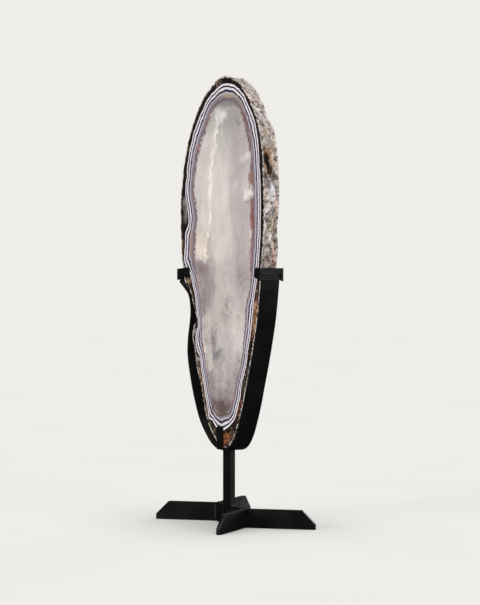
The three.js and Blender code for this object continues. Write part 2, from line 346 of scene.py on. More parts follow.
# %% Outlines of the slice
SLICE_RIM = [
    # the top and the right shoulder, with the ledge in the rind
    [[14, 611], [12, 609]], [[38, 605], [34, 601]], [[60, 594.5], [54, 590]], [[80, 579], [70, 576]],
    [[97, 561], [82, 563]], [[111, 542], [92, 547]], [[121, 520], [109, 531]], [[127, 495], [119, 503]],
    # the right side, down into the cradle
    [[129.5, 465], [124, 468]], [[130.5, 430], [124.5, 430]], [[129.5, 395], [120, 397]],
    [[126.5, 368], [121, 368]], [[121.3, 348], [116.5, 348]], [[120.6, 334], [115.5, 334]],
    [[117, 310], [112, 311]], [[110.5, 280], [106, 282]], [[101, 250], [97, 252]],
    [[90, 220], [86.5, 222]], [[79, 193], [76, 195]], [[69, 168], [66.5, 170]], [[58, 147], [56, 149]],
    [[46, 127.5], [44.5, 129]],
    # the foot
    [[33, 113], [32, 114.5]], [[20, 106.4], [19.5, 108]], [[6, 105.3], [6.5, 107]], [[-8, 109], [-7, 110.5]],
    [[-22, 119], [-20.5, 121]], [[-36, 131], [-33.5, 133]],
    # the left side, with the notch and the overhang above it
    [[-48, 148], [-45, 150]], [[-58, 171], [-54.5, 173]], [[-68, 195], [-64, 197]],
    [[-79, 214], [-74.5, 216]], [[-84, 236], [-79, 237]], [[-92, 255], [-86, 254]],
    [[-88, 269], [-82, 267]], [[-77, 279], [-72, 280]],
    [[-84, 291], [-78, 293]], [[-93, 307], [-87, 309]], [[-104, 324], [-98, 326]], [[-119, 334], [-112, 336]],
    [[-122, 347], [-116, 348]], [[-127, 361], [-120.5, 362]],
    # the left belly and shoulder
    [[-131, 388], [-125, 388]], [[-133, 420], [-127, 420]], [[-132, 450], [-126, 450]],
    [[-127, 478], [-121.5, 477]], [[-120, 502], [-114.5, 500]], [[-110, 525], [-104, 522]],
    [[-101, 541], [-95, 537]], [[-88, 558], [-83, 553]], [[-73, 574], [-68, 568]], [[-55, 588], [-51, 582]],
    [[-34, 599], [-31, 594]], [[-10, 608], [-8, 604.5]],
]
STEPS_PER_POINT = 20


def closed_curve(points, steps):
    """A closed centripetal Catmull-Rom curve through points, with steps to each span, as an array."""
    points = np.array(points, float)
    before, start, end, after = (np.roll(points, shift, axis=0) for shift in (1, 0, -1, -2))
    neighbours = ((before, start), (start, end), (end, after))
    first, middle, last = (np.linalg.norm(b - a, axis=1)[:, None] ** 0.5 for a, b in neighbours)
    leave = (start - before) / first - (end - before) / (first + middle) + (end - start) / middle
    arrive = (end - start) / middle - (after - start) / (middle + last) + (after - end) / last
    leave, arrive = leave * middle, arrive * middle
    curve = []
    for t in np.arange(steps) / steps:
        curve.append(
            (2 * t**3 - 3 * t**2 + 1) * start + (t**3 - 2 * t**2 + t) * leave
            + (3 * t**2 - 2 * t**3) * end + (t**3 - t**2) * arrive
        )
    return np.stack(curve, axis=1).reshape(-1, 2)


front_rim = closed_curve([row[0] for row in SLICE_RIM], STEPS_PER_POINT) * MM
back_rim = closed_curve([row[1] for row in SLICE_RIM], STEPS_PER_POINT) * MM
print("rim outline of", len(front_rim), "points, top at", round(front_rim[:, 1].max(), 4), "m")

# %% [markdown]
# The rind's hollows have three sources: long ripples round the rim, single open pits, and fine noise. The
# first two repeat the CAD solid. All of them push a point towards an upright line inside the slice, and
# the depth is kept for the material, which paints deeper places a darker brown.

# %% Hollows of the rind
SLICE_THICKNESS = 25 * MM
RIM_ROWS = 34
BACK_SLOPE_POWER = 1.6  # how late in the thickness the rim turns in towards the back edge
SPINE_X, SPINE_LOW, SPINE_HIGH = 4 * MM, 195 * MM, 500 * MM
SMOOTH_LIP = 0.12  # share of the thickness over which the ripples fade in from each face
RIND_RIPPLES = [  # waves round, waves through, depth in mm, phase
    (9, 0.4, 0.6, 0.3), (21, -0.9, 0.55, 1.9), (34, 1.3, 0.45, 4.1), (47, -1.7, 0.4, 2.6),
]
RIND_PITS = [  # x, y, z, reach across, reach along, depth in mm
    (125, -5, 489, 4.5, 9, 5.6), (125, -1.5, 475, 4.5, 8, 4.8), (125, 6, 469, 3.5, 5, 2.2),
    (92, -7.5, 566, 3, 4.5, 2.2), (120, -7.5, 505, 3, 4, 1.8), (112, -2, 526, 3.5, 4.5, 1.6),
    (128, -8, 411, 3.5, 6, 2), (124, 9, 399, 5, 8, 3.4), (125, -1, 360, 3, 4, 1.6),
    (-128, 3, 400, 5, 9, 3), (-124, -3, 470, 4, 8, 2.6), (-100, 4, 536, 5, 9, 3),
    (-40, 2, 592, 5, 10, 2.4), (30, 5, 600, 4, 8, 2), (-82, 2, 236, 5, 8, 2.6),
]
ROUGHNESS = [(320, 0.8), (760, 0.45)]  # waves to the metre and depth in mm of the fine noise
NOISE_GAIN = 1.6  # spreads the noise, which seldom comes near -1 or 1, over its full range


def smoothstep(value, low, high):
    share = np.clip((value - low) / (high - low), 0, 1)
    return share * share * (3 - 2 * share)


def rind_depth(round_share, through, points, front):
    """Depth of the hollows, in metres, at points of one row of the rim."""
    fade = smoothstep(through, 0, SMOOTH_LIP) * smoothstep(1 - through, 0, SMOOTH_LIP)
    depth = np.zeros(len(points))
    for waves, across, deep, phase in RIND_RIPPLES:
        wave = np.sin(2 * np.pi * (waves * round_share + across * through) + phase)
        depth += fade * deep * MM * (1 + wave) / 2
    for scale, deep in ROUGHNESS:
        bumps = np.array([noise.noise(Vector(point) * scale) for point in points])
        depth += fade * deep * MM * (0.5 + 0.5 * np.clip(bumps * NOISE_GAIN, -1, 1))
    y = points[:, 1]
    for pit_x, pit_y, pit_z, across, along, deep in np.array(RIND_PITS) * MM:
        distance = np.hypot(front[:, 0] - pit_x, front[:, 1] - pit_z) / along
        depth += deep * np.exp(-(distance**2 + ((y - pit_y) / across) ** 2))
    return depth


def to_spine(points):
    """From each point to the nearest point of the upright line inside the slice, in x and z."""
    target = np.stack([np.full(len(points), SPINE_X), np.clip(points[:, 1], SPINE_LOW, SPINE_HIGH)], axis=1)
    return target - points


def rim_row(row):
    """The points of one row of the rim, from 0 at the front edge, and how deep each lies in a hollow."""
    through = row / RIM_ROWS
    outline = front_rim + (back_rim - front_rim) * through**BACK_SLOPE_POWER
    y = np.full(len(outline), (through - 0.5) * SLICE_THICKNESS)
    points = np.stack([outline[:, 0], y, outline[:, 1]], axis=1)
    depth = rind_depth(np.arange(len(outline)) / len(outline), through, points, front_rim)
    inward = to_spine(outline)
    inward /= np.linalg.norm(inward, axis=1)[:, None]
    points[:, 0] += inward[:, 0] * depth
    points[:, 2] += inward[:, 1] * depth
    return points, depth


rim_rows = [rim_row(row) for row in range(RIM_ROWS + 1)]
print("deepest hollow", round(1000 * max(depth.max() for _, depth in rim_rows), 1), "mm")

# %% [markdown]
# ## The growth lines of the agate
#
# An agate grows inward, layer on layer, so every band follows the wall of the hollow it filled. Bands could
# be painted, or made with a Wave texture, but then they wouldn't follow this outline. Here two closed
# curves are given: the outermost white line, and the inner edge of the bands, where clear quartz
# begins. Every point of the face then gets one number, its band: 0 on the first curve, 1 on the second, and
# in between by its share of the two distances. A colour ramp turns that number into layers.

# %% Two curves that guide the bands
OUTER_WHITE_LINE = [
    [10, 599], [20, 598.5], [30, 597], [40, 594.5], [50, 590], [60, 584.5], [70, 577.5], [80, 566.5],
    [88, 558.5], [96, 549], [103, 540], [107, 530], [110, 520], [112, 510], [113.5, 500], [116, 480],
    [118.5, 460], [119.5, 440], [119.5, 420], [119, 400], [117, 380], [114.5, 360], [111.5, 345],
    [108, 332], [104, 320], [99, 300], [97, 290], [94.5, 280], [91.5, 270], [89, 260], [83, 240],
    [77, 220], [67, 200], [61, 185], [57, 172], [50, 156], [41, 147], [30, 139], [20, 132.5], [8, 129.5],
    [-4, 130.5], [-14, 133.5], [-27, 139], [-40, 143], [-43, 156], [-47.5, 173], [-53.5, 189], [-58, 202],
    [-62, 213], [-65, 226], [-75, 233], [-79, 244], [-79, 257], [-75, 266], [-74, 277], [-76, 288],
    [-80, 300], [-87, 319], [-93, 334], [-102, 347], [-112, 355.5], [-119, 363], [-118, 380], [-118, 399],
    [-112, 409], [-106, 415], [-104, 422], [-106, 431], [-109, 441], [-114.5, 455], [-115, 464],
    [-111.5, 480], [-108.5, 498], [-105, 508], [-100.5, 520], [-94, 531], [-88, 540], [-79, 550],
    [-69, 560], [-60, 569], [-50, 577], [-40, 583.5], [-30, 589.5], [-20, 592.5], [-10, 596], [0, 598],
]
CORE_EDGE = [
    [10, 572], [28, 570.5], [42, 566], [52, 560], [60, 553], [67, 542], [73, 526], [80, 511], [86, 497],
    [89, 480], [91, 460], [91, 440], [91.5, 420], [91.5, 400], [90.5, 380], [88.5, 360], [88, 345], [88, 332],
    [86, 318], [79, 308], [75, 298], [74, 285], [71.5, 268], [69, 250], [65, 235], [59.5, 218], [51.5, 202],
    [45.5, 192], [41, 182], [38, 172], [33, 163], [25, 156], [12, 152.5], [-2, 152], [-14, 154.5],
    [-24, 160], [-30, 170], [-34, 184], [-40, 198], [-46, 212], [-51, 228], [-56, 242], [-59, 256],
    [-61, 270], [-62, 288], [-64, 303], [-69, 318], [-74, 333], [-79, 345], [-82, 356], [-80, 372],
    [-79, 386], [-77, 402], [-73, 415], [-72.5, 424], [-75, 438], [-80, 452], [-82, 464], [-79, 478],
    [-75, 494], [-70, 506], [-61, 518], [-54, 528], [-44, 539], [-38, 548], [-28, 560], [-18, 566],
    [-4, 570.5],
]
CRACK = [[-3, 575], [-12, 552], [-17, 530], [-20, 512], [-27, 498], [-35, 478], [-37, 462], [-33, 445],
         [-33, 428], [-36, 412], [-38, 398], [-45, 386], [-60, 366]]
LINES_SHARE = (0.70, 0.50)  # how much of the width between the curves the white lines take, low and high up
LINES_HEIGHTS = (300 * MM, 370 * MM)
CURVE_STEPS = 5
BATCH = 3000  # points measured at a time, to spare memory
JAGS = [(0.045, 2.4), (0.12, 1.6)]  # waves to the millimetre along a band, reach in mm
JAGS_GAIN = 2.2
JAGS_LEAST, JAGS_MORE_LEFT, JAGS_MORE_LOW = 0.35, 0.65, 0.4
JAGS_INSIDE = 0.6  # share of a step that reaches the core
JAGS_FADE = 10 * MM  # how near its start a closed curve loses its steps, so that its ends meet
CORE_STEP = 14 * MM  # how far inside the core the band number grows by 1
RING_STEP = 22 * MM  # how far outside the first line it falls by 1
LEAST_WIDTH = 1e-6
LEAST_RISE = 1e-12


def distance_to(points, curve):
    """Distance from each point to a closed curve, positive inside it, and how far along the curve it lies."""
    start, end = curve, np.roll(curve, -1, axis=0)
    run = end - start
    length = np.linalg.norm(run, axis=1)
    passed = np.cumsum(length) - length
    distances, places = [], []
    for batch in np.array_split(points, max(1, len(points) // BATCH)):
        away = batch[:, None] - start[None]
        share = np.clip((away * run).sum(-1) / (run**2).sum(-1), 0, 1)
        gap = np.linalg.norm(away - share[..., None] * run, axis=-1)
        nearest, each = gap.argmin(1), np.arange(len(batch))
        above = (start[:, 1] > batch[:, 1:2]) != (end[:, 1] > batch[:, 1:2])
        rise = np.where(run[:, 1] == 0, LEAST_RISE, run[:, 1])
        crossing = start[:, 0] + run[:, 0] * (batch[:, 1:2] - start[:, 1]) / rise
        inside = (above & (batch[:, :1] < crossing)).sum(1) % 2 == 1
        distances.append(np.where(inside, 1, -1) * gap[each, nearest])
        places.append(passed[nearest] + share[each, nearest] * length[nearest])
    return np.concatenate(distances), np.concatenate(places)


def jags(along, points):
    """How far the bands step in or out, in metres: zigzags, strongest on the left and low down."""
    left = JAGS_LEAST + JAGS_MORE_LEFT * smoothstep(-points[:, 0], -40 * MM, 60 * MM)
    low = JAGS_LEAST + JAGS_MORE_LOW * smoothstep(-points[:, 1], -300 * MM, -160 * MM)
    from_ends = np.minimum(along, along.max() - along)
    strength = np.maximum(left, low) * smoothstep(from_ends, 0, JAGS_FADE)
    total = np.zeros(len(along))
    for waves, reach in JAGS:
        turns = along / MM * waves
        count = int(turns.max()) + 2
        heights = np.array([noise.noise(Vector((turn * 7.31, waves * 91, 0))) for turn in range(count)])
        total += JAGS_GAIN * reach * MM * np.interp(turns, range(count), heights)
    return total * strength


def growth_pattern(points):
    """The band, the distance in from the rim and the distance beyond the crack, at x and z points."""
    outer, along = distance_to(points, closed_curve(OUTER_WHITE_LINE, CURVE_STEPS) * MM)
    inner, _ = distance_to(points, closed_curve(CORE_EDGE, CURVE_STEPS) * MM)
    step = jags(along, points)
    outer, inner = outer + step, inner + step * JAGS_INSIDE
    between = outer / np.maximum(outer - inner, LEAST_WIDTH)
    lines = np.interp(points[:, 1], LINES_HEIGHTS, LINES_SHARE)
    between = np.where(between < lines, 0.5 * between / lines, 0.5 + 0.5 * (between - lines) / (1 - lines))
    band = np.where(inner > 0, 1 + inner / CORE_STEP, np.where(outer < 0, outer / RING_STEP, between))
    crack = np.array(CRACK[::-1]) * MM
    return {
        "band": band,
        "rim_distance": distance_to(points, front_rim[::4])[0],
        "crack": points[:, 0] - np.interp(points[:, 1], crack[:, 1], crack[:, 0]),
    }


print("guide curves of", len(OUTER_WHITE_LINE), "and", len(CORE_EDGE), "points")

# %% [markdown]
# The mesh is one run of closed rings: from the middle of the front face out to its edge, across the rim,
# and in again over the back. Neighbouring rings are joined by quads. Only the rim needs the full number of
# points, so just inside each edge the next ring has half as many, and triangles take up the change. The
# rings are closest where the bands are, because the band number is kept per vertex.

# %% Build the slice
INWARD_SHARES = [0.006, *np.linspace(0.016, 0.34, 28), *np.linspace(0.39, 0.93, 11)]


def face_ring(rim, share, y, half):
    outline = rim[::2] if half else rim
    moved = outline + to_spine(outline) * share
    return np.stack([moved[:, 0], np.full(len(moved), y), moved[:, 1]], axis=1)


def bridge(outer, inner):
    """Faces between two rings of vertex numbers. The second may have as many, half or twice as many."""
    count, other = len(outer), len(inner)
    if count == other:
        return [
            (outer[i], outer[(i + 1) % count], inner[(i + 1) % count], inner[i]) for i in range(count)
        ]
    if count < other:
        return [tuple(reversed(face)) for face in bridge(inner, outer)]
    faces = []
    for i in range(other):
        a, b, c = outer[2 * i], outer[2 * i + 1], outer[(2 * i + 2) % count]
        here, after = inner[i], inner[(i + 1) % other]
        faces += [(a, b, here), (b, after, here), (b, c, after)]
    return faces


def build_slice():
    edge_front, edge_back = rim_rows[0][0][:, [0, 2]], rim_rows[-1][0][:, [0, 2]]
    half_thickness = SLICE_THICKNESS / 2
    rings, patterns, hollows = [], [], []
    for index in range(len(INWARD_SHARES) - 1, -1, -1):
        rings.append(face_ring(edge_front, INWARD_SHARES[index], -half_thickness, index > 0))
        patterns.append(rings[-1][:, [0, 2]])
        hollows.append(np.zeros(len(rings[-1])))
    for row, (points, depth) in enumerate(rim_rows):
        rings.append(points)
        patterns.append(edge_front)
        hollows.append(depth)
    for index, share in enumerate(INWARD_SHARES):
        rings.append(face_ring(edge_back, share, half_thickness, index > 0))
        patterns.append(face_ring(edge_front, share, 0, index > 0)[:, [0, 2]])
        hollows.append(np.zeros(len(rings[-1])))

    starts = np.cumsum([0] + [len(ring) for ring in rings])
    numbers = [list(range(start, start + len(ring))) for start, ring in zip(starts, rings)]
    faces, is_rind = [tuple(reversed(numbers[0]))], [0]
    for index in range(len(rings) - 1):
        strip = bridge(numbers[index], numbers[index + 1])
        faces += strip
        on_rim = len(INWARD_SHARES) <= index < len(INWARD_SHARES) + RIM_ROWS
        is_rind += [int(on_rim)] * len(strip)
    faces.append(tuple(numbers[-1]))
    is_rind.append(0)

    lowest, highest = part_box("agate_slice")
    made = new_object("polished_agate_slice", np.clip(np.concatenate(rings), lowest, highest), faces)
    mesh = made.data
    measured = {**growth_pattern(np.concatenate(patterns)), "hollow": np.concatenate(hollows)}
    for name, values in measured.items():
        layer = mesh.attributes.new(name, "FLOAT", "POINT")
        layer.data.foreach_set("value", values.astype(np.float32))
    mesh.polygons.foreach_set("use_smooth", [True] * len(mesh.polygons))
    mesh.polygons.foreach_set("material_index", is_rind)
    corners = {len(INWARD_SHARES), len(INWARD_SHARES) + RIM_ROWS}
    sharp = set().union(*(numbers[index] for index in corners))
    for edge in mesh.edges:
        edge.use_edge_sharp = edge.vertices[0] in sharp and edge.vertices[1] in sharp
    return made


agate = build_slice()
print("slice of", len(agate.data.vertices), "vertices and", len(agate.data.polygons), "faces")

# %% [markdown]
# ## The polished faces
#
# The face is read from the rim inward: a thin pale edge of rind, a nearly black ring of chalcedony with
# rusty crusts in it, two white lines with a slate-grey one after each, a lavender line, a mauve zone, and
# the core of milky quartz. The ramp below is that order, from the ring inward. What isn't regular, such as a
# crust or a cloud, is a soft patch with its place and half size in millimetres. Each list is painted in
# order, one patch over another, so a new feature is one more line.

# %% Colours of the bands
BAND_START, BAND_END = -0.12, 2.0
BAND_STOPS = [
    (-0.085, (40, 30, 28)), (-0.055, (224, 219, 224)), (0.035, (232, 227, 233)), (0.065, (34, 33, 40)),
    (0.13, (30, 29, 36)), (0.16, (232, 224, 230)), (0.235, (230, 224, 231)), (0.27, (46, 45, 56)),
    (0.36, (44, 43, 53)), (0.40, (182, 174, 187)), (0.47, (190, 183, 194)), (0.52, (98, 90, 97)),
    (0.57, (146, 135, 139)), (0.63, (142, 126, 130)), (0.70, (108, 88, 94)), (0.78, (122, 103, 108)),
    (0.86, (146, 132, 134)), (0.96, (172, 162, 160)), (1.1, (192, 184, 181)),
]


def band_colours(tree, band):
    inputs = {"Value": band, "From Min": BAND_START, "From Max": BAND_END}
    share = place(tree, "ShaderNodeMapRange", inputs).outputs[0]
    ramp = place(tree, "ShaderNodeValToRGB", {"Fac": share})
    stops = ramp.color_ramp.elements
    while len(stops) < len(BAND_STOPS):
        stops.new(1.0)
    for stop, (where, shade) in zip(stops, BAND_STOPS):
        stop.position = (where - BAND_START) / (BAND_END - BAND_START)
        stop.color = colour(*shade)
    return ramp.outputs["Color"]


# x, z, half width, half height, anticlockwise turn in degrees, edge, ragged or not, strength, colour
CRUSTS = [  # in the dark ring outside the bands
    (-5, 602, 9, 4, 0, 0.5, 1, 0.9, (150, 126, 112)),
    (-107, 522, 3, 7, -20, 0.5, 1, 0.8, (122, 90, 66)),
    (-128, 380, 4, 17, 0, 0.5, 1, 0.9, (118, 90, 56)),
    (-122, 358, 7, 9, 0, 0.4, 1, 0.9, (158, 158, 158)),
    (-114, 334, 13, 5, -8, 0.4, 1, 1.0, (214, 184, 148)),
    (-96, 312, 4, 17, 28, 0.5, 1, 0.9, (126, 96, 76)),
    (-83, 263, 8, 6, 0, 0.4, 1, 1.0, (176, 174, 168)),
    (-79, 242, 8, 11, 10, 0.4, 1, 0.8, (84, 94, 106)),
    (-71, 221, 9, 9, 0, 0.3, 1, 1.0, (176, 166, 160)),
    (-70, 217, 4.5, 5, 0, 0.3, 0, 1.0, (66, 46, 34)),
    (-66, 200, 5, 14, 20, 0.4, 1, 0.9, (172, 138, 112)),
    (-56, 178, 5, 14, 20, 0.4, 1, 0.9, (160, 130, 108)),
    (-49, 156, 5, 12, 20, 0.4, 1, 0.9, (166, 144, 128)),
    (-34, 135, 12, 5, -45, 0.5, 1, 0.8, (82, 70, 46)),
    (16, 118, 16, 6, 0, 0.5, 1, 0.95, (156, 98, 62)),
    (34, 124, 9, 5, 40, 0.5, 1, 0.8, (112, 84, 68)),
    (57, 160, 5, 15, -25, 0.5, 1, 0.9, (128, 76, 54)),
    (72, 196, 4, 16, -25, 0.5, 1, 0.7, (92, 74, 66)),
    (104, 282, 7, 24, -15, 0.4, 1, 1.0, (166, 124, 92)),
    (109, 318, 4, 13, -12, 0.5, 1, 0.7, (98, 70, 54)),
]
CORE_CLOUDS = [  # in the quartz
    (22, 556, 60, 22, 0, 0.6, 0, 0.7, (138, 137, 130)),
    (10, 530, 70, 30, 0, 0.7, 0, 0.4, (168, 165, 160)),
    (66, 515, 32, 62, -10, 0.7, 0, 0.6, (166, 156, 155)),
    (-6, 455, 30, 70, 0, 0.7, 0, 0.5, (220, 214, 209)),
    (-62, 460, 24, 80, 0, 0.5, 0, 0.5, (210, 203, 197)),
    (66, 395, 34, 55, 0, 0.7, 0, 0.6, (172, 162, 162)),
    (62, 330, 28, 30, 0, 0.7, 0, 0.6, (174, 165, 167)),
    (-46, 332, 32, 36, 10, 0.6, 1, 0.75, (148, 136, 136)),
    (-58, 298, 11, 12, 0, 0.5, 1, 0.6, (134, 127, 128)),
    (8, 300, 44, 40, 0, 0.7, 0, 0.4, (198, 185, 181)),
    (16, 212, 34, 48, 0, 0.6, 0, 0.7, (178, 171, 171)),
    (-22, 240, 7, 16, 20, 0.6, 1, 0.6, (136, 130, 133)),
    (-13, 230, 15, 7, 30, 0.6, 1, 0.75, (126, 124, 127)),
    (2, 222, 12, 5, 30, 0.7, 1, 0.5, (140, 136, 138)),
    (-30, 190, 10, 26, 20, 0.6, 1, 0.6, (150, 138, 138)),
    (5, 168, 44, 15, 0, 0.7, 1, 0.6, (140, 122, 126)),
    (6, 160, 30, 8, 0, 0.7, 1, 0.8, (96, 76, 80)),
    (-28, 165, 10, 10, 0, 0.6, 1, 0.7, (98, 78, 72)),
    (-72, 350, 30, 10, -10, 0.5, 1, 0.75, (148, 134, 135)),
    (5, 557, 14, 8, 15, 0.5, 1, 0.85, (222, 219, 216)),
    (-10, 562, 8, 12, -15, 0.5, 1, 0.6, (206, 204, 200)),
    (-64, 386, 17, 14, -8, 0.5, 1, 0.95, (226, 212, 197)),
    (-61, 370, 21, 7, -12, 0.4, 1, 0.85, (230, 217, 204)),
    (-50, 372, 5, 12, 0, 0.4, 1, 0.9, (242, 232, 220)),
    (-50, 238, 5, 11, 22, 0.5, 1, 0.95, (230, 214, 203)),
    (-36, 215, 6, 9, 30, 0.5, 1, 0.9, (222, 208, 200)),
    (50, 545, 9, 5, -35, 0.6, 1, 0.5, (124, 122, 119)),
    (47, 462, 14, 6, 20, 0.6, 1, 0.4, (212, 204, 200)),
]
GRAINY = [  # dark crystals, which come through the core and the inner bands grain by grain
    (6, 160, 34, 12, 0, 0.8, 0, 0.95, (84, 64, 70)),
    (8, 182, 34, 14, 0, 0.9, 0, 0.35, (112, 94, 100)),
    (-34, 196, 9, 30, 20, 0.8, 0, 0.7, (112, 96, 100)),
    (-50, 300, 14, 46, 0, 0.9, 0, 0.75, (108, 94, 98)),
    (-22, 248, 11, 30, 15, 0.9, 0, 0.7, (106, 100, 104)),
    (-66, 348, 30, 12, -10, 0.7, 0, 0.6, (104, 86, 92)),
    (70, 320, 12, 44, -5, 0.9, 0, 0.4, (124, 106, 112)),
    (52, 220, 8, 40, -20, 0.9, 0, 0.6, (116, 98, 104)),
]
OVER_ALL = [  # across the bands' inner edge
    (12, 574, 44, 5, -4, 0.6, 0, 0.6, (108, 99, 101)),
    (24, 583, 24, 2.6, -8, 0.5, 0, 0.8, (158, 146, 122)),
    (60, 570, 16, 2.6, -42, 0.5, 0, 0.7, (146, 130, 112)),
    (80, 541, 4, 26, 34, 0.5, 1, 0.7, (112, 88, 78)),
    (-72, 521, 5, 5, 0, 0.5, 1, 0.6, (160, 118, 128)),
    (92, 467, 6, 11, 0, 0.5, 1, 0.85, (132, 92, 78)),
    (96, 417, 7, 22, 0, 0.4, 1, 0.85, (126, 82, 79)),
    (93, 372, 5, 16, 0, 0.5, 1, 0.6, (132, 100, 103)),
    (-97, 384, 6, 18, 0, 0.5, 1, 0.6, (156, 127, 106)),
    (77, 496, 15, 6, 12, 0.5, 1, 0.7, (214, 203, 198)),
    (85, 446, 13, 7, 10, 0.45, 1, 0.9, (222, 214, 211)),
    # a painted shadow: the thin grey strip just under the white cloud above
    (84, 437, 12, 2.5, 5, 0.6, 1, 0.5, (134, 124, 125)),
    (92, 395, 4, 6, 0, 0.5, 1, 0.7, (208, 194, 190)),
    (-116, 436, 8, 17, 0, 0.5, 1, 0.8, (142, 140, 138)),
    (-121, 430, 4, 13, 0, 0.6, 1, 0.8, (78, 65, 56)),
    (8, 152, 20, 4, 0, 0.6, 1, 0.7, (74, 64, 44)),
    (-8, 156, 4, 2.5, 0, 0.6, 1, 0.6, (130, 84, 60)),
    (-26, 157, 6, 5, 0, 0.6, 1, 0.7, (98, 68, 50)),
]
patch_count = len(CRUSTS) + len(CORE_CLOUDS) + len(GRAINY) + len(OVER_ALL)
print(len(BAND_STOPS), "band stops and", patch_count, "patches")

# %% [markdown]
# The material mixes three layers by the band number: the dark ring and its crusts, the bands, and the core.
# Dark grains and the patches that cross the bands lie over them. The faces are polished, so gloss comes from
# a low roughness, a little higher in the crusts, and there is hardly any bump.

# %% Material of the polished faces
THROUGH = 1.0  # half depth in Y of a patch that runs right through the slice, in metres
QUARTZ_IOR = 1.54
AGATE_SPECULAR = 0.35  # below the usual 0.5, so that the bands keep their contrast at a flat angle


def paint_patches(tree, under, patches, calm, ragged, cover=1.0):
    """Lays each patch of a list over a colour. cover, a value or a mask, thins them all."""
    for x, z, half_x, half_z, turn, edge, is_ragged, strength, shade in patches:
        mask = use(
            tree, soft_patch, position=ragged if is_ragged else calm, centre=(x * MM, 0, z * MM),
            half_size=(half_x * MM, THROUGH, half_z * MM), turn=math.radians(turn), edge=edge,
        )
        under = lay(tree, under, shade, mask, strength, cover)
    return under


def dark_ring(tree, position, calm, ragged, rim_distance):
    """The outer chalcedony: nearly black, with translucent brown clouds and a thin pale edge."""
    clouds = use(tree, mottle, position=position, scale=110.0, detail=5.0, contrast=0.16)
    shade = blend(tree, clouds, (16, 12, 11), (40, 29, 24))
    clumps = use(tree, mottle, position=ragged, scale=290.0, detail=5.0, contrast=0.06)
    shade = paint_patches(tree, shade, CRUSTS, calm, ragged, smooth_step(tree, clumps, 0.25, 0.8, 0.08, 1.0))
    height = place(tree, "ShaderNodeSeparateXYZ", {0: position}).outputs[2]
    sparks = use(tree, pits, position=ragged, scale=230.0, share=0.12, size=0.42)
    shade = lay(tree, shade, (216, 180, 142), sparks, smooth_step(tree, height, 0.30, 0.36, 0.85, 0.1))
    specks = use(tree, pits, position=ragged, scale=330.0, share=0.4, size=0.5)
    shade = lay(tree, shade, (34, 22, 17), specks, 0.7)
    wander = times(tree, cloud(tree, position, 260.0), 4.4 * MM)
    edge = smooth_step(tree, calculate(tree, "SUBTRACT", rim_distance, wander), -0.7 * MM, 0.7 * MM, 1.0, 0.0)
    flecks = use(tree, mottle, position=ragged, scale=160.0, detail=6.0, contrast=0.06)
    pale = blend(tree, flecks, (42, 34, 31), (204, 196, 187))
    return blend(tree, edge, shade, pale)


def white_crack(tree, under, position, height, crack):
    """A healed crack: a jagged white line, sharp on its right, fading into a bright zone on its left."""
    wander = calculate(
        tree, "ADD", noise_about_zero(tree, position, 48.0, 2.0, 14 * MM),
        noise_about_zero(tree, position, 190.0, 5.0, 13 * MM),
    )
    beyond = calculate(tree, "ADD", crack, wander)
    right_side = smooth_step(tree, beyond, 0.4 * MM, 3.0 * MM, 1.0, 0.0)
    line = times(tree, smooth_step(tree, beyond, -8 * MM, -0.5 * MM), right_side)
    zone = times(tree, smooth_step(tree, beyond, -30 * MM, 0.0), right_side)
    breaks = use(tree, mottle, position=position, scale=80.0, detail=5.0, contrast=0.16)
    line = times(tree, line, smooth_step(tree, breaks, 0.0, 1.0, 0.3, 1.0))
    fade_in = smooth_step(tree, height, 0.36, 0.40)
    fade = times(tree, fade_in, smooth_step(tree, height, 0.54, 0.575, 1.0, 0.0))
    under = lay(tree, under, (222, 216, 208), zone, fade, 0.5)
    return lay(tree, under, (242, 237, 229), line, fade)


def quartz_core(tree, position, calm, ragged, crack):
    """Milky quartz: warm grey clouds, upright streaks, a crack, and crystals that show most low down."""
    clouds = use(tree, mottle, position=position, scale=22.0, detail=4.0, contrast=0.2)
    shade = blend(tree, clouds, (186, 178, 175), (212, 205, 200))
    shade = paint_patches(tree, shade, CORE_CLOUDS, calm, ragged)
    height = place(tree, "ShaderNodeSeparateXYZ", {0: position}).outputs[2]
    shade = white_crack(tree, shade, position, height, crack)

    upright = vector(tree, "MULTIPLY", position, (1.0, 1.0, 0.22))
    streaks = use(tree, mottle, position=upright, scale=120.0, detail=5.0, contrast=0.14)
    shade = blend(tree, 0.4, shade, blend(tree, streaks, (238, 235, 233), (255, 255, 255)), "MULTIPLY")
    lively = use(tree, mottle, position=position, scale=30.0, detail=3.0, contrast=0.16)
    low_end = smooth_step(tree, height, 0.30, 0.42, 1.0, 0.25)
    amount = times(tree, lively, low_end)
    grain = use(tree, crystal_grain, position=ragged, scale=360.0)
    tinted = blend(tree, grain, (188, 180, 180), (255, 255, 255))
    shade = blend(tree, times(tree, amount, 0.85), shade, tinted, "MULTIPLY")
    specks = use(tree, pits, position=ragged, scale=250.0, share=0.5, size=0.4)
    shade = lay(tree, shade, (104, 90, 94), specks, amount, 0.9)
    flecks = use(tree, pits, position=ragged, scale=300.0, share=0.14, size=0.4)
    shade = lay(tree, shade, (236, 230, 224), flecks, 0.35)
    return shade, grain


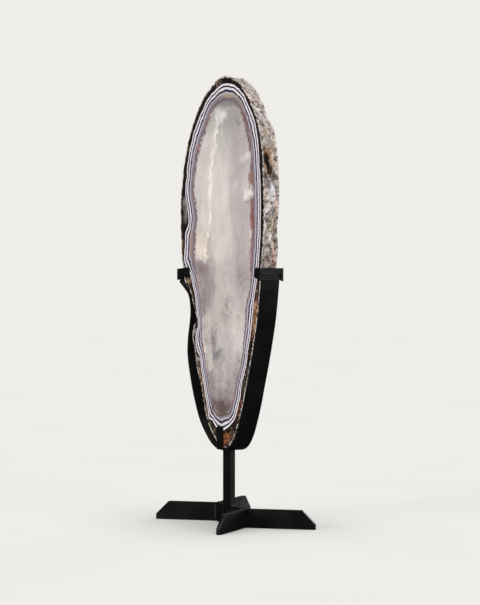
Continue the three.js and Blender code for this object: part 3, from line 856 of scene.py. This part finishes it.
def polished_agate():
    material, tree, surface, position = new_material("polished agate")
    calm = shifted(tree, position, 38.0, 13 * MM)
    ragged = shifted(tree, shifted(tree, position, 75.0, 9 * MM), 240.0, 6 * MM)
    coarse = noise_about_zero(tree, position, 90.0, 3.0, 0.06)
    fine = noise_about_zero(tree, position, 420.0, 3.0, 0.025)
    band = calculate(tree, "ADD", attribute(tree, "band"), calculate(tree, "ADD", coarse, fine))
    frayed = noise_about_zero(tree, position, 170.0, 5.0, 0.36)
    frayed = times(tree, frayed, smooth_step(tree, band, 0.5, 0.8))
    band = calculate(tree, "ADD", band, frayed)

    ring = dark_ring(tree, position, calm, ragged, attribute(tree, "rim_distance"))
    core, grain = quartz_core(tree, position, calm, ragged, attribute(tree, "crack"))
    hairlines = calculate(tree, "SINE", times(tree, band, 150.0))
    dimmer = blend(tree, smooth_step(tree, hairlines, -1.0, 1.0), (238, 236, 238), (255, 255, 255))
    lines = blend(tree, 1.0, band_colours(tree, band), dimmer, "MULTIPLY")
    shade = blend(tree, smooth_step(tree, band, -0.085, -0.045), ring, lines)
    shade = blend(tree, smooth_step(tree, band, 0.74, 1.08), shade, core)
    flattened = vector(tree, "MULTIPLY", ragged, (1.0, 1.0, 1.7))
    grains = use(tree, pits, position=flattened, scale=185.0, share=0.6, size=0.5)
    inside = smooth_step(tree, band, 0.45, 0.62)
    cover = times(tree, smooth_step(tree, grains, 0.0, 1.0, 0.25, 1.0), inside)
    shade = paint_patches(tree, shade, GRAINY, position, ragged, cover)
    shade = paint_patches(tree, shade, OVER_ALL, position, ragged)
    tree.links.new(shade, surface.inputs["Base Color"])

    smears = use(tree, mottle, position=position, scale=14.0, detail=5.0, contrast=0.25)
    polish = smooth_step(tree, smears, 0.0, 1.0, 0.13, 0.24)
    crusty = smooth_step(tree, band, -0.2, -0.06, 0.1, 0.0)
    tree.links.new(calculate(tree, "ADD", polish, crusty), surface.inputs["Roughness"])
    bump = place(tree, "ShaderNodeBump", {"Strength": 0.25, "Distance": 0.05 * MM, "Height": grain})
    tree.links.new(bump.outputs[0], surface.inputs["Normal"])
    surface.inputs["IOR"].default_value = QUARTZ_IOR
    surface.inputs["Specular IOR Level"].default_value = AGATE_SPECULAR
    return material


agate.data.materials.append(polished_agate())
print("material of the faces has", len(agate.data.materials[0].node_tree.nodes), "nodes")

# %% [markdown]
# ## The rind
#
# The skin of the nodule is dull and rough: pale grey and beige grains, dark pits between them, rust-brown
# in the deep hollows, and here and there a cream, olive or bluish stain. The stains are the same soft
# patches as before, now with a depth in Y as well, because they sit on the rim. The hollow attribute from
# the mesh darkens what lies deep, so colour and shape belong together. The insides of the large hollows are
# painted last, over the grains.

# %% Material of the rind
RIND_SPECULAR = 0.2
RIND_STAINS = [  # x, y, z, half sizes in x, y and z, edge, strength, colour
    (60, 0, 600, 62, 30, 34, 0.6, 0.6, (150, 138, 132)),
    (120, 5, 490, 20, 6, 16, 0.6, 0.4, (214, 190, 168)),
    (116, 0, 518, 20, 14, 14, 0.8, 0.4, (222, 214, 207)),
    (86, -12, 574, 14, 5, 7, 0.6, 0.85, (228, 198, 172)),
    (124, -11, 465, 20, 3.5, 6, 0.6, 0.7, (112, 120, 134)),
    (124, -6, 460, 20, 3.5, 4, 0.6, 0.6, (172, 158, 188)),
    (124, -12, 455, 20, 2.5, 6, 0.6, 0.6, (138, 134, 98)),
    (124, 1, 443, 20, 3.5, 15, 0.6, 0.75, (216, 216, 222)),
    (124, 3, 420, 20, 3, 8, 0.6, 0.6, (98, 102, 112)),
    (124, 8, 425, 20, 3.5, 16, 0.6, 0.5, (192, 154, 132)),
    (124, 2, 405, 20, 4, 10, 0.6, 0.6, (150, 140, 98)),
    (124, -8, 385, 20, 4, 9, 0.6, 0.5, (160, 152, 150)),
    (122, 7, 362, 20, 4, 18, 0.6, 0.5, (202, 158, 134)),
    (-124, 4, 440, 30, 8, 40, 0.7, 0.5, (176, 150, 122)),
    (-90, -2, 560, 40, 8, 30, 0.7, 0.4, (150, 128, 110)),
    (-80, 0, 220, 40, 9, 50, 0.7, 0.5, (168, 130, 104)),
    (100, 2, 270, 40, 9, 40, 0.7, 0.5, (176, 134, 104)),
    (0, 0, 110, 60, 14, 22, 0.7, 0.5, (140, 106, 82)),
]
RIND_HOLLOWS = [  # the same columns
    (120, -4.5, 487, 20, 6, 19, 0.3, 0.75, (166, 130, 96)),
    (120, -5.5, 491, 20, 4.8, 9, 0.25, 1.0, (60, 37, 17)),
    (122, -1.5, 476, 20, 4.4, 8.5, 0.25, 1.0, (52, 32, 20)),
    (120, -3.6, 485, 20, 2.8, 9, 0.3, 1.0, (12, 8, 6)),
    (122, 5, 468, 20, 3.2, 4, 0.5, 0.9, (62, 50, 46)),
    (118, -9, 504, 20, 2.4, 3.2, 0.5, 0.9, (58, 50, 46)),
    (92, -9, 567, 20, 2.4, 2.4, 0.4, 1.0, (40, 30, 30)),
    (92, -2.5, 569, 20, 1.8, 2.0, 0.5, 0.9, (60, 48, 50)),
    (112, -3, 525, 20, 2.6, 3.4, 0.5, 0.6, (160, 134, 102)),
]


def stain_rim(tree, under, stains, ragged):
    for x, y, z, half_x, half_y, half_z, edge, strength, shade in stains:
        mask = use(
            tree, soft_patch, position=ragged, centre=(x * MM, y * MM, z * MM),
            half_size=(half_x * MM, half_y * MM, half_z * MM), turn=0.0, edge=edge,
        )
        under = lay(tree, under, shade, mask, strength)
    return under


def agate_rind():
    material, tree, surface, position = new_material("agate rind")
    ragged = shifted(tree, position, 260.0, 2.6 * MM)
    hollow = attribute(tree, "hollow")
    grains = use(tree, mottle, position=position, scale=150.0, detail=4.0, contrast=0.16)
    broad = use(tree, mottle, position=position, scale=60.0, detail=3.0, contrast=0.2)
    dull = blend(tree, broad, (108, 94, 84), (122, 114, 112))
    bright = blend(tree, broad, (206, 192, 180), (222, 217, 215))
    shade = blend(tree, grains, dull, bright)
    shade = stain_rim(tree, shade, RIND_STAINS, ragged)
    speckle = use(tree, crystal_grain, position=position, scale=560.0)
    shade = blend(tree, smooth_step(tree, speckle, 0.1, 0.4, 0.3, 0.0), shade, (96, 84, 78))
    lumps = use(tree, pits, position=ragged, scale=210.0, share=0.3, size=0.5)
    shade = lay(tree, shade, (232, 224, 218), lumps, 0.4)
    small_holes = use(tree, pits, position=ragged, scale=300.0, share=0.36, size=0.44)
    shade = lay(tree, shade, (66, 53, 46), small_holes, 0.75)
    holes = use(tree, pits, position=ragged, scale=175.0, share=0.42, size=0.42)
    shade = lay(tree, shade, (28, 20, 18), holes, 0.95)
    # a darker brown, the deeper the rim lies in a hollow
    shade = blend(tree, smooth_step(tree, hollow, 1.0 * MM, 2.6 * MM, 0.0, 0.5), shade, (70, 54, 44))
    shade = stain_rim(tree, shade, RIND_HOLLOWS, ragged)
    tree.links.new(shade, surface.inputs["Base Color"])
    surface.inputs["Specular IOR Level"].default_value = RIND_SPECULAR

    tree.links.new(smooth_step(tree, speckle, 0.0, 1.0, 0.62, 0.9), surface.inputs["Roughness"])
    raised = calculate(tree, "ADD", grains, times(tree, speckle, 0.5))
    sunk = calculate(tree, "ADD", holes, times(tree, small_holes, 0.5))
    height = calculate(tree, "SUBTRACT", raised, times(tree, sunk, 1.6))
    bump = place(tree, "ShaderNodeBump", {"Strength": 0.7, "Distance": 0.4 * MM, "Height": height})
    tree.links.new(bump.outputs[0], surface.inputs["Normal"])
    return material


agate.data.materials.append(agate_rind())
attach(agate, "root")
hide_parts("agate_slice")
print("rind has", len(RIND_STAINS), "stains and", len(RIND_HOLLOWS), "hollows")

# %% [markdown]
# ## Black paint on the stand
#
# The stand is hot-rolled flat bar, cut, bent, welded and sprayed satin black. Its CAD solids already have
# the right shape, so they stay, and only get a better finish. Their corners are knife-sharp, and no real
# edge is: a Bevel modifier rounds them a little, after a Weld modifier has joined the corners that the
# file format keeps apart. The paint is not quite even. It has orange peel, faint clouds where the spray
# was thinner and specks of dust. It is duller on the upper sides, which also get a painted highlight: a
# lighter colour in mottled patches, as if lit from above.

# %% Paint, and rounded edges
EDGE_ROUNDING = 0.45 * MM
SAME_CORNER = 0.001 * MM  # corners nearer than this are joined
ROUNDED_FROM = math.radians(30)  # flatter edges than this stay as they are
PAINT_SPECULAR = 0.22
STEEL_NODES = [
    "cradle_strip", "right_clip", "left_clip", "front_prong", "back_prong", "post", "base_web",
    "right_back_leg", "right_front_leg", "left_front_leg", "left_back_leg",
]


def satin_black_paint(name, darkest, lightest):
    material, tree, surface, position = new_material(name)
    clouds = use(tree, mottle, position=position, scale=28.0, detail=6.0, contrast=0.2)
    shade = blend(tree, clouds, darkest, lightest)
    dust = use(tree, pits, position=position, scale=420.0, share=0.12, size=0.16)
    shade = lay(tree, shade, (86, 80, 74), dust, 0.5)
    normal = place(tree, "ShaderNodeNewGeometry").outputs["Normal"]
    upward = smooth_step(tree, place(tree, "ShaderNodeSeparateXYZ", {0: normal}).outputs[2], 0.5, 1.0)
    top_light_mottle = use(tree, mottle, position=position, scale=90.0, detail=5.0, contrast=0.25)
    # painted highlight: upward faces get a lighter colour in mottled patches, as if lit from above
    shade = lay(tree, shade, (58, 54, 50), upward, top_light_mottle, 0.25)
    tree.links.new(shade, surface.inputs["Base Color"])
    satin = smooth_step(tree, clouds, 0.0, 1.0, 0.32, 0.42)
    roughness = calculate(tree, "ADD", satin, times(tree, upward, 0.12))
    tree.links.new(roughness, surface.inputs["Roughness"])
    peel = cloud(tree, position, 900.0, 2.0)
    height = calculate(tree, "ADD", peel, times(tree, dust, 0.8))
    bump = place(tree, "ShaderNodeBump", {"Strength": 0.35, "Distance": 0.12 * MM, "Height": height})
    tree.links.new(bump.outputs[0], surface.inputs["Normal"])
    surface.inputs["Specular IOR Level"].default_value = PAINT_SPECULAR
    return material


def soften_edges(piece):
    weld = piece.modifiers.new("join corners", "WELD")
    weld.merge_threshold = SAME_CORNER
    bevel = piece.modifiers.new("rounded edges", "BEVEL")
    bevel.width = EDGE_ROUNDING
    bevel.segments = 2
    bevel.limit_method = "ANGLE"
    bevel.angle_limit = ROUNDED_FROM


black_paint = satin_black_paint("satin black paint", (7, 7, 8), (13, 13, 14))
for name in STEEL_NODES:
    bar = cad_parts[name]
    bar.material_slots[0].material = black_paint
    soften_edges(bar)
print(len(STEEL_NODES), "pieces of the stand painted")

# %% [markdown]
# ## Weld beads
#
# Small beads fill the corners where bars meet. A bead is a row of overlapping puddles, so its section
# swells and shrinks at an even pitch. A curve with a bevel would be smooth; here rings are placed along the
# joint, each with its own radius, which gives the ripple in the mesh itself.

# %% Beads along the joints
# painted highlight: the beads are painted lighter than the stand, so that the welds look lit
weld_paint_with_painted_highlight = satin_black_paint("weld paint with painted highlight", (16, 15, 14), (74, 70, 65))
BEAD_SIDES = 10
PUDDLE_PITCH = 1.9 * MM
RINGS_PER_PUDDLE = 4
FEWEST_RINGS = 6
END_SIZE, END_GROWTH = 0.35, 1.3  # size at the very end of a bead, and how fast it grows from there
RIPPLE = 0.1
UNEVENNESS, UNEVEN_SCALE = 0.06, 400


def weld_bead(name, points, radius):
    """A rippled bead along a chain of points, given in millimetres, as its own painted piece."""
    chain = [Vector(point) * MM for point in points]
    lengths = np.cumsum([0] + [(b - a).length for a, b in zip(chain, chain[1:])])
    ring_count = max(FEWEST_RINGS, round(lengths[-1] / PUDDLE_PITCH * RINGS_PER_PUDDLE))
    vertices, faces = [], []
    for ring in range(ring_count + 1):
        along = lengths[-1] * ring / ring_count
        centre = Vector([float(np.interp(along, lengths, values)) for values in zip(*chain)])
        segment = min(int(np.searchsorted(lengths, along, side="right")), len(chain) - 1)
        direction = (chain[segment] - chain[segment - 1]).normalized()
        side = direction.orthogonal().normalized()
        other = direction.cross(side)
        from_end = min(along, lengths[-1] - along) / (radius * MM)
        end_taper = min(1.0, END_SIZE + END_GROWTH * from_end)
        ripple = 1 - RIPPLE + RIPPLE * math.cos(2 * math.pi * along / PUDDLE_PITCH)
        wander = 1 + UNEVENNESS * noise.noise(centre * UNEVEN_SCALE)
        size = radius * MM * end_taper * ripple * wander
        for step in range(BEAD_SIDES):
            turn = 2 * math.pi * step / BEAD_SIDES
            vertices.append(centre + (side * math.cos(turn) + other * math.sin(turn)) * size)
    for ring in range(ring_count):
        for step in range(BEAD_SIDES):
            after = (step + 1) % BEAD_SIDES
            a, b = ring * BEAD_SIDES + step, ring * BEAD_SIDES + after
            faces.append((a, b, b + BEAD_SIDES, a + BEAD_SIDES))
    last_ring = ring_count * BEAD_SIDES
    faces.append(tuple(range(BEAD_SIDES))[::-1])
    faces.append(tuple(range(last_ring, last_ring + BEAD_SIDES)))
    bead = new_object(name, vertices, faces)
    bead.data.polygons.foreach_set("use_smooth", [True] * len(bead.data.polygons))
    bead.data.materials.append(weld_paint_with_painted_highlight)
    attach(bead, "root")
    return bead


def node_box(name):
    """A CAD node's box in millimetres, as two corners."""
    low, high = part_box(name)
    return low / MM, high / MM


post_low, post_high = node_box("post")
web_low, web_high = node_box("base_web")
clip_low, clip_high = node_box("right_clip")
BEAD = 1.5
FOOT_BEAD = 2.0
CLIP_BEAD = 0.9
CLIP_BEAD_HALF_LENGTH = 11.5
LEFT_CLIP_CORNER = (-134.3, 335.1)  # x and z where the strip meets the left clip
RIGHT_CLIP_CORNER = (clip_high.x - 0.2, clip_low.z + 9.9)
beads = []
for side, face_y in (("front", post_low.y), ("back", post_high.y)):
    top = post_high.z - 0.2
    under_strip = [(post_low.x + 1, face_y, top), (0, face_y, top - 1), (post_high.x - 1, face_y, top)]
    beads.append(weld_bead(f"post_top_weld_{side}", under_strip, BEAD))
    for end, corner_x in (("left", web_low.x), ("right", web_high.x)):
        corner = [(corner_x, face_y, 2.2), (corner_x, face_y, web_high.z - 1.5)]
        beads.append(weld_bead(f"{end}_foot_weld_{side}", corner, FOOT_BEAD))
for end, edge_x in (("left", post_low.x), ("right", post_high.x)):
    across = [(edge_x, post_low.y + 0.4, web_high.z), (edge_x, post_high.y - 0.4, web_high.z)]
    beads.append(weld_bead(f"post_foot_weld_{end}", across, BEAD))
for end, (x, z) in (("right", RIGHT_CLIP_CORNER), ("left", LEFT_CLIP_CORNER)):
    across = [(x, -CLIP_BEAD_HALF_LENGTH, z), (x, CLIP_BEAD_HALF_LENGTH, z)]
    beads.append(weld_bead(f"{end}_clip_weld", across, CLIP_BEAD))
print(len(beads), "weld beads")

# %% [markdown]
# ## The world and the floor's paint
#
# The world does three jobs, and each has its own grey. To the camera it is a backdrop, as bright as the lit
# floor, so that no horizon shows. As light it is darker and the same from all sides. In mirrored rays it is
# a dark room, because a polished stone seen at a flat angle would reflect a bright world and lose the
# contrast of its bands. The Light Path node tells these rays apart. The floor is darker in mirrored rays
# too, and has no gloss, because a glossy floor shines white where a light grazes it. None of this happens in
# a real room: there, pale surroundings would veil the stone.

# %% World and floor
WORLD_SEEN = (239, 237, 233)
WORLD_LIGHT = (168, 169, 172)
WORLD_MIRRORED = (46, 47, 50)


def studio_world():
    world = bpy.data.worlds.new("studio")
    world.use_nodes = True
    tree = world.node_tree
    tree.nodes.clear()
    seen, lighting, mirrored = (
        place(tree, "ShaderNodeBackground", {"Color": colour(*shade)}).outputs[0]
        for shade in (WORLD_SEEN, WORLD_LIGHT, WORLD_MIRRORED)
    )
    ray = place(tree, "ShaderNodeLightPath").outputs
    unseen = place(tree, "ShaderNodeMixShader", {0: ray["Is Glossy Ray"], 1: lighting, 2: mirrored})
    whole = place(tree, "ShaderNodeMixShader", {0: ray["Is Camera Ray"], 1: unseen.outputs[0], 2: seen})
    place(tree, "ShaderNodeOutputWorld", {0: whole.outputs[0]})
    scene.world = world


def pale_floor_paint():
    material, tree, surface, position = new_material("pale floor")
    clouds = use(tree, mottle, position=position, scale=3.0, detail=4.0, contrast=0.3)
    pale = blend(tree, clouds, (197, 195, 191), (199, 197, 193))
    mirrored = place(tree, "ShaderNodeLightPath").outputs["Is Glossy Ray"]
    tree.links.new(blend(tree, mirrored, pale, (52, 50, 48)), surface.inputs["Base Color"])
    tree.links.new(smooth_step(tree, clouds, 0.0, 1.0, 0.6, 0.7), surface.inputs["Roughness"])
    surface.inputs["Specular IOR Level"].default_value = 0.0
    return material


studio_world()
floor.data.materials.append(pale_floor_paint())
print("world and floor:", scene.world.name, "and", floor.data.materials[0].name)
